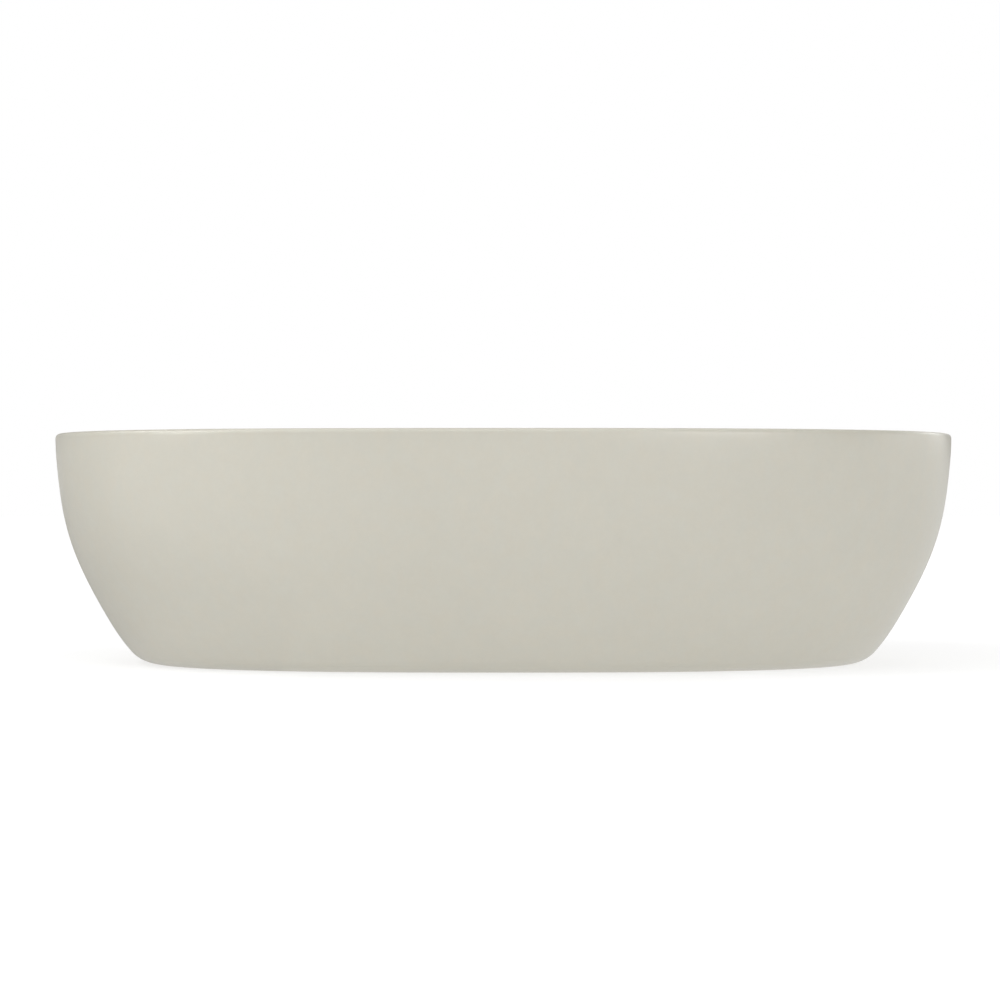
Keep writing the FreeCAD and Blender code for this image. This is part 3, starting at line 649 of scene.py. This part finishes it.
# ---------------------------------------------------------------- materials
class Mat:
    """A material under construction: its principled shader and short ways to add and join nodes."""

    def __init__(self, name):
        self.m = bpy.data.materials.new(name)
        self.m.use_nodes = True
        self.t = self.m.node_tree
        self.t.nodes.clear()
        out = self.t.nodes.new("ShaderNodeOutputMaterial")
        self.bsdf = self.t.nodes.new("ShaderNodeBsdfPrincipled")
        self.t.links.new(self.bsdf.outputs[0], out.inputs[0])
        self.pos = self.node("ShaderNodeTexCoord").outputs["Object"]

    def node(self, kind, **props):
        n = self.t.nodes.new(kind)
        for k, v in props.items():
            setattr(n, k, v)
        return n

    def put(self, value, socket):
        if isinstance(value, bpy.types.NodeSocket):
            self.t.links.new(value, socket)
        else:
            socket.default_value = value

    def set(self, **inputs):
        for k, v in inputs.items():
            self.put(v, self.bsdf.inputs[k.replace("_", " ")])

    def noise(self, scale, detail=2.0, rough=0.5, vector=None, distortion=0.0):
        n = self.node("ShaderNodeTexNoise")
        self.put(vector if vector is not None else self.pos, n.inputs["Vector"])
        n.inputs["Scale"].default_value = scale
        n.inputs["Detail"].default_value = detail
        n.inputs["Roughness"].default_value = rough
        n.inputs["Distortion"].default_value = distortion
        return n.outputs[0]

    def map(self, value, a, b, c, d, clamp=True):
        n = self.node("ShaderNodeMapRange", clamp=clamp)
        self.put(value, n.inputs["Value"])
        for k, v in (("From Min", a), ("From Max", b), ("To Min", c), ("To Max", d)):
            self.put(v, n.inputs[k])
        return n.outputs[0]

    def math(self, op, a, b=0.0):
        n = self.node("ShaderNodeMath", operation=op)
        self.put(a, n.inputs[0])
        self.put(b, n.inputs[1])
        return n.outputs[0]

    def mix(self, fac, a, b):
        n = self.node("ShaderNodeMix", data_type="RGBA")
        self.put(fac, n.inputs[0])
        self.put(a if isinstance(a, bpy.types.NodeSocket) else (*a, 1.0), n.inputs[6])
        self.put(b if isinstance(b, bpy.types.NodeSocket) else (*b, 1.0), n.inputs[7])
        return n.outputs[2]

    def attribute(self, name):
        return self.node("ShaderNodeAttribute", attribute_name=name).outputs["Fac"]

    def bump(self, height, distance, strength=1.0, normal=None):
        n = self.node("ShaderNodeBump")
        n.inputs["Strength"].default_value = strength
        n.inputs["Distance"].default_value = distance
        self.put(height, n.inputs["Height"])
        if normal is not None:
            self.put(normal, n.inputs["Normal"])
        return n.outputs[0]

    def stretched(self, x, y, z):
        n = self.node("ShaderNodeMapping")
        self.put(self.pos, n.inputs["Vector"])
        n.inputs["Scale"].default_value = (x, y, z)
        return n.outputs[0]

    def radius(self):
        n = self.node("ShaderNodeVectorMath", operation="MULTIPLY")
        self.put(self.pos, n.inputs[0])
        n.inputs[1].default_value = (1, 1, 0)
        m = self.node("ShaderNodeVectorMath", operation="LENGTH")
        self.put(n.outputs[0], m.inputs[0])
        return m.outputs["Value"]

    def height(self):
        n = self.node("ShaderNodeSeparateXYZ")
        self.put(self.pos, n.inputs[0])
        return n.outputs["Z"]


GLAZE = (0.537, 0.519, 0.450)


def shade(c, k):
    return tuple(x * k for x in c)


def glaze_material():
    m = Mat("satin_glaze")
    broad = m.noise(9.0, 3.0, 0.5)
    cloud = m.noise(55.0, 3.0, 0.55)
    fine = m.noise(420.0, 2.0, 0.6)
    grain = m.noise(1900.0, 1.0, 0.5)
    mottle = m.noise(170.0, 2.0, 0.55)
    drift = m.noise(115.0, 3.0, 0.6, m.stretched(1, 1, 0.8))
    tone = m.math("ADD", m.math("MULTIPLY", m.map(broad, 0.3, 0.7, -0.5, 0.5), 0.40), m.math("MULTIPLY", m.map(cloud, 0.3, 0.7, -0.5, 0.5), 0.30))
    tone = m.math("ADD", tone, m.math("MULTIPLY", m.map(mottle, 0.3, 0.7, -0.5, 0.5), 0.30))
    hue = m.map(drift, 0.32, 0.68, 0.0, 1.0)
    warm, cool = (GLAZE[0] * 1.008, GLAZE[1] * 0.998, GLAZE[2] * 0.988), (GLAZE[0] * 0.992, GLAZE[1] * 1.002, GLAZE[2] * 1.012)
    body = m.mix(m.map(tone, -0.5, 0.5, 0.0, 1.0), m.mix(hue, shade(warm, 0.975), shade(cool, 0.975)), m.mix(hue, shade(warm, 1.025), shade(cool, 1.025)))
    body = m.mix(m.map(fine, 0.35, 0.65, 0.0, 0.13), body, shade(GLAZE, 0.93))
    # glaze runs thicker and deeper in hollows, and thins to a paler tone over edges; the same darker tone on the
    # underside curve to the foot is painted shade
    body = m.mix(m.map(m.attribute("pool_and_shade"), 0.0, 1.0, 0.0, 0.35), body, (GLAZE[0] * 0.86, GLAZE[1] * 0.85, GLAZE[2] * 0.82))
    thin = m.math("MULTIPLY", m.attribute("edge"), m.map(cloud, 0.3, 0.7, 0.75, 1.25))
    body = m.mix(m.map(thin, 0.0, 1.0, 0.0, 0.12), body, (GLAZE[0] * 1.14, GLAZE[1] * 1.13, GLAZE[2] * 1.11))
    # bare fired clay on the foot and round the hole, with an uneven glaze line
    ragged = m.math("ADD", m.attribute("bare"), m.map(m.noise(130.0, 3.0, 0.6), 0.3, 0.7, -0.12, 0.12))
    bare = m.map(ragged, 0.62, 0.74, 0.0, 1.0)
    clay = m.mix(m.map(m.noise(900.0, 3.0, 0.6), 0.35, 0.65, 0.0, 1.0), (0.60, 0.55, 0.47), (0.70, 0.655, 0.58))
    m.set(Base_Color=m.mix(bare, body, clay))
    gloss = m.math("ADD", m.map(cloud, 0.3, 0.7, 0.30, 0.34), m.map(fine, 0.3, 0.7, -0.02, 0.02))
    m.set(Roughness=m.math("ADD", gloss, m.math("MULTIPLY", bare, 0.42)))
    skin = m.math("ADD", m.math("MULTIPLY", fine, 0.7), m.math("MULTIPLY", grain, 0.3))
    n1 = m.bump(m.noise(28.0, 1.0, 0.4), 0.0006, 0.25)
    n2 = m.bump(skin, 0.00006, 0.5, n1)
    m.set(Normal=m.bump(m.math("MULTIPLY", m.noise(1500.0, 2.0, 0.7), bare), 0.0002, 0.8, n2))
    m.set(IOR=1.5, Specular_IOR_Level=0.5)
    return m.m


def chrome_material():
    m = Mat("chrome_plate")
    smear = m.noise(160.0, 3.0, 0.6, m.stretched(1, 1, 0.4))
    spots = m.noise(700.0, 2.0, 0.5)
    lines = m.noise(1.0, 2.0, 0.5, m.stretched(60, 60, 5200))
    m.set(Base_Color=m.mix(m.map(smear, 0.3, 0.7, 0.0, 1.0), (0.72, 0.725, 0.735), (0.82, 0.822, 0.825)))
    m.set(Metallic=1.0)
    m.set(Roughness=m.math("ADD", m.map(smear, 0.35, 0.75, 0.07, 0.15), m.map(spots, 0.55, 0.75, 0.0, 0.06)))
    m.set(Normal=m.bump(lines, 0.00001, 0.5))
    return m.m


def brass_material(name, tone, turned):
    m = Mat(name)
    stain = m.noise(90.0, 4.0, 0.6)
    marks = m.noise(1.0, 2.0, 0.6, m.stretched(*((40, 40, 6500) if turned else (900, 900, 900))))
    m.set(Base_Color=m.mix(m.map(stain, 0.35, 0.7, 0.0, 1.0), tone, (tone[0] * 0.72, tone[1] * 0.66, tone[2] * 0.6)))
    m.set(Metallic=1.0)
    m.set(Roughness=m.math("ADD", m.map(stain, 0.3, 0.7, 0.22, 0.38), m.map(marks, 0.3, 0.7, -0.05, 0.05)))
    m.set(Normal=m.bump(marks, 0.00003, 0.6))
    return m.m


def steel_material():
    m = Mat("drawn_steel")
    streak = m.noise(1.0, 2.0, 0.6, m.stretched(700, 700, 3200))
    m.set(Base_Color=m.mix(m.map(streak, 0.3, 0.7, 0.0, 1.0), (0.46, 0.465, 0.475), (0.62, 0.62, 0.625)))
    m.set(Metallic=1.0)
    m.set(Roughness=m.map(streak, 0.3, 0.7, 0.20, 0.36))
    m.set(Normal=m.bump(streak, 0.00002, 0.5))
    return m.m


def rubber_material():
    m = Mat("black_rubber")
    bloom = m.noise(140.0, 3.0, 0.6)
    grain = m.noise(2600.0, 2.0, 0.6)
    m.set(Base_Color=m.mix(m.map(bloom, 0.35, 0.75, 0.0, 1.0), (0.018, 0.018, 0.019), (0.045, 0.045, 0.046)))
    m.set(Roughness=m.map(bloom, 0.3, 0.7, 0.52, 0.68))
    m.set(Normal=m.bump(grain, 0.00005, 0.5))
    return m.m


def plastic_material(name, tone, rough):
    m = Mat(name)
    flow = m.noise(60.0, 3.0, 0.5)
    grain = m.noise(2200.0, 2.0, 0.6)
    m.set(Base_Color=m.mix(m.map(flow, 0.3, 0.7, 0.0, 1.0), shade(tone, 0.94), shade(tone, 1.05)))
    m.set(Roughness=m.math("ADD", m.map(flow, 0.3, 0.7, rough - 0.05, rough + 0.05), m.map(grain, 0.3, 0.7, -0.03, 0.03)))
    m.set(Normal=m.bump(grain, 0.00003, 0.5))
    return m.m


GLAZED = glaze_material()
CHROME = chrome_material()
NUT_BRASS = brass_material("milled_brass", (0.66, 0.49, 0.23), False)
ROD_BRASS = brass_material("turned_brass", (0.68, 0.52, 0.26), True)
STEEL = steel_material()
RUBBER = rubber_material()
ACETAL = plastic_material("white_acetal", (0.76, 0.76, 0.73), 0.42)
GREY = plastic_material("grey_nylon", (0.22, 0.23, 0.24), 0.48)

PIECES = [
    (basin, "basin_body", "basin", "glaze", GLAZED),
    (waste_fitting, "waste_body", "basin", "chromed_brass", CHROME),
    (flange_gasket, "flange_seal", "basin", "seal_rubber", RUBBER),
    (tapered_gasket, "lower_seal", "basin", "seal_rubber", RUBBER),
    (slip_ring, "slip_washer", "basin", "white_plastic", ACETAL),
    (hex_backnut, "backnut", "basin", "brass_nut", NUT_BRASS),
    (cartridge_tube, "cartridge_housing", "basin", "grey_plastic", GREY),
    (guide_sleeve, "guide_bush", "basin", "white_plastic", ACETAL),
    (snap_ring, "retaining_ring", "basin", "spring_steel", STEEL),
    (return_spring, "cartridge_spring", "basin", "spring_steel", STEEL),
    (index_ring, "index_cam", "cam", "white_plastic", ACETAL),
    (push_rod, "plunger", "plug", "brass_rod", ROD_BRASS),
    (threaded_stud, "adjusting_stud", "plug", "spring_steel", STEEL),
    (jam_nut, "lock_nut", "plug", "brass_rod", ROD_BRASS),
    (plug_carrier, "plug_hub", "plug", "grey_plastic", GREY),
    (plug_gasket, "plug_seal", "plug", "seal_rubber", RUBBER),
    (plug_dome, "plug_cap", "plug", "plug_glaze", GLAZED),
]
for make, node, body, slot, material in PIECES:
    ob = make()
    ob.data.materials.clear()
    ob.data.materials.append(material)
    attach(ob, body)
    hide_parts(node)
    if node == "cartridge_spring":
        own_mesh(ob)


# ---------------------------------------------------------------- floor, light and camera
def floor():
    n, size = 48, 14.0
    verts, faces = [], []
    verts.append((0, 0, 0))
    for ring in range(1, 13):
        r = size * 1000 * (ring / 12) ** 2
        for k in range(n):
            verts.append((r * math.cos(2 * math.pi * k / n), r * math.sin(2 * math.pi * k / n), 0))
    for k in range(n):
        faces.append((0, 1 + k, 1 + (k + 1) % n))
    for ring in range(11):
        a, b = 1 + ring * n, 1 + (ring + 1) * n
        for k in range(n):
            faces.append((a + k, b + k, b + (k + 1) % n, a + (k + 1) % n))
    me = bpy.data.meshes.new("floor")
    me.from_pydata([(x * MM, y * MM, z * MM - 0.0002) for x, y, z in verts], [], faces)
    ob = bpy.data.objects.new("floor", me)
    scene.collection.objects.link(ob)
    m = Mat("pale_floor")
    # the floor's own glow makes up for the lamps' fall-off, so it stays evenly white to the horizon
    glow = m.node("ShaderNodeMapRange", interpolation_type="SMOOTHSTEP")
    m.put(m.radius(), glow.inputs["Value"])
    for k, v in (("From Min", 0.3), ("From Max", 2.6), ("To Min", 0.685), ("To Max", 0.985)):
        glow.inputs[k].default_value = v
    m.set(Base_Color=(0.34, 0.34, 0.34, 1.0), Roughness=0.9, Specular_IOR_Level=0.1, Emission_Color=(1.0, 1.0, 1.0, 1.0), Emission_Strength=glow.outputs[0])
    me.materials.append(m.m)
    return ob


def grey_card(name, side, edge, level):
    # a grey card lies beside and behind the part, out of sight: only the glaze's reflections take it in
    nx, ny = 8, 10
    xs = [side * (0.14 + 3.9 * (k / nx) ** 2) for k in range(nx + 1)]
    ys = [-0.22 + 5.2 * (k / ny) ** 2 for k in range(ny + 1)]
    me = bpy.data.meshes.new(name)
    faces = [(j * (nx + 1) + i, j * (nx + 1) + i + 1, (j + 1) * (nx + 1) + i + 1, (j + 1) * (nx + 1) + i) for j in range(ny) for i in range(nx)]
    me.from_pydata([(x, y, 0.0005) for y in ys for x in xs], [], [f if side > 0 else f[::-1] for f in faces])
    ob = bpy.data.objects.new(name, me)
    scene.collection.objects.link(ob)
    m = Mat(name)
    place = m.node("ShaderNodeSeparateXYZ")
    m.put(m.pos, place.inputs[0])
    away, behind, tone = (m.node("ShaderNodeMapRange", interpolation_type="SMOOTHSTEP") for _ in range(3))
    m.put(place.outputs["X"], away.inputs["Value"])
    m.put(place.outputs["Y"], behind.inputs["Value"])
    m.put(m.math("MULTIPLY", away.outputs[0], behind.outputs[0]), tone.inputs["Value"])
    for n, v in ((away, (side * 0.14, side * 0.34, 0.0, 1.0)), (behind, (-0.22, -0.02, 0.0, 1.0)), (tone, (0.0, 1.0, edge, level))):
        for k, x in zip(("From Min", "From Max", "To Min", "To Max"), v):
            n.inputs[k].default_value = x
    m.set(Base_Color=(0.02, 0.02, 0.02, 1.0), Roughness=0.9, Emission_Color=(1.0, 1.0, 1.0, 1.0), Emission_Strength=tone.outputs[0])
    me.materials.append(m.m)
    ob.visible_camera = ob.visible_diffuse = ob.visible_shadow = ob.visible_transmission = False
    return ob


def soft_light(name, place, aim, size, watts, colour=(1.0, 1.0, 1.0)):
    data = bpy.data.lights.new(name, "AREA")
    data.shape = "RECTANGLE"
    data.size, data.size_y = size
    data.energy = watts
    data.color = colour
    ob = bpy.data.objects.new(name, data)
    ob.location = place
    ob.rotation_euler = (Vector(aim) - Vector(place)).to_track_quat("-Z", "Y").to_euler()
    ob.visible_camera = False
    scene.collection.objects.link(ob)
    return ob


floor()
grey_card("card_left", -1, 0.70, 0.34)
grey_card("card_right", 1, 0.85, 0.70)
soft_light("left_high", (-1.2, -0.7, 2.2), (-0.1, 0, 0.1), (1.0, 0.8), 7.3)
soft_light("left_side", (-1.3, -0.05, 1.38), (-0.2, -0.08, 0.15), (0.55, 0.45), 5.2)
soft_light("left_front", (-1.5, -0.9, 1.5), (-0.2, -0.12, 0.15), (0.4, 0.4), 6.8)
soft_light("left_low", (-1.74, -1.28, 0.68), (-0.2, -0.12, 0.15), (0.5, 0.5), 7.4)
soft_light("front_fill", (0.3, -3.2, 1.3), (0, 0, 0.08), (2.6, 1.6), 6.0)
soft_light("front_right", (1.3, -2.6, 0.8), (0, 0, 0.08), (1.2, 1.0), 20.6)
soft_light("top_front", (0.0, -1.4, 2.0), (0, 0, 0.1), (1.6, 0.8), 8.6)
soft_light("overhead", (0.0, 0.1, 2.2), (0, 0, 0.05), (2.2, 1.6), 13.0)
soft_light("right_side", (2.0, 0.0, 0.5), (0, 0, 0.08), (0.9, 0.8), 3.9)
soft_light("right_back", (1.6, 0.9, 0.7), (0.1, 0, 0.09), (0.8, 1.2), 5.2)
soft_light("rim_right", (1.11, 1.0, 0.735), (0.27, -0.05, 0.15), (0.4, 0.4), 1.5)
soft_light("back_fill", (0.2, 2.8, 1.2), (0, 0, 0.1), (2.0, 1.2), 13.0)
soft_light("back_low", (-0.8, 4.2, 0.55), (0, 0, 0.15), (4.0, 1.0), 3.0)

# the room's even light, and the plain white that stands behind the part
world = bpy.data.worlds.new("studio")
scene.world = world
world.use_nodes = True
sky = world.node_tree
room = sky.nodes["Background"]
room.inputs["Color"].default_value = (1.0, 1.0, 1.0, 1.0)
room.inputs["Strength"].default_value = 0.15
white = sky.nodes.new("ShaderNodeBackground")
white.inputs["Color"].default_value = (1.0, 1.0, 1.0, 1.0)
white.inputs["Strength"].default_value = 1.0
either = sky.nodes.new("ShaderNodeMixShader")
sky.links.new(sky.nodes.new("ShaderNodeLightPath").outputs["Is Camera Ray"], either.inputs[0])
sky.links.new(room.outputs[0], either.inputs[1])
sky.links.new(white.outputs[0], either.inputs[2])
sky.links.new(either.outputs[0], sky.nodes["World Output"].inputs["Surface"])

camera = bpy.data.cameras.new("camera")
camera.sensor_fit = "HORIZONTAL"
camera.sensor_width = 36.0
camera.lens = 36.0 * 2448.0 / 1000.0
camera.clip_start = 0.01
camera.clip_end = 60.0
camera.dof.use_dof = False
eye = bpy.data.objects.new("camera", camera)
eye.location = (-0.00223, -1.678, 0.10885)
eye.rotation_euler = (math.pi / 2, 0.0, 0.0)
scene.collection.objects.link(eye)
scene.camera = eye

scene.view_settings.view_transform = "Standard"
scene.view_settings.look = "None"
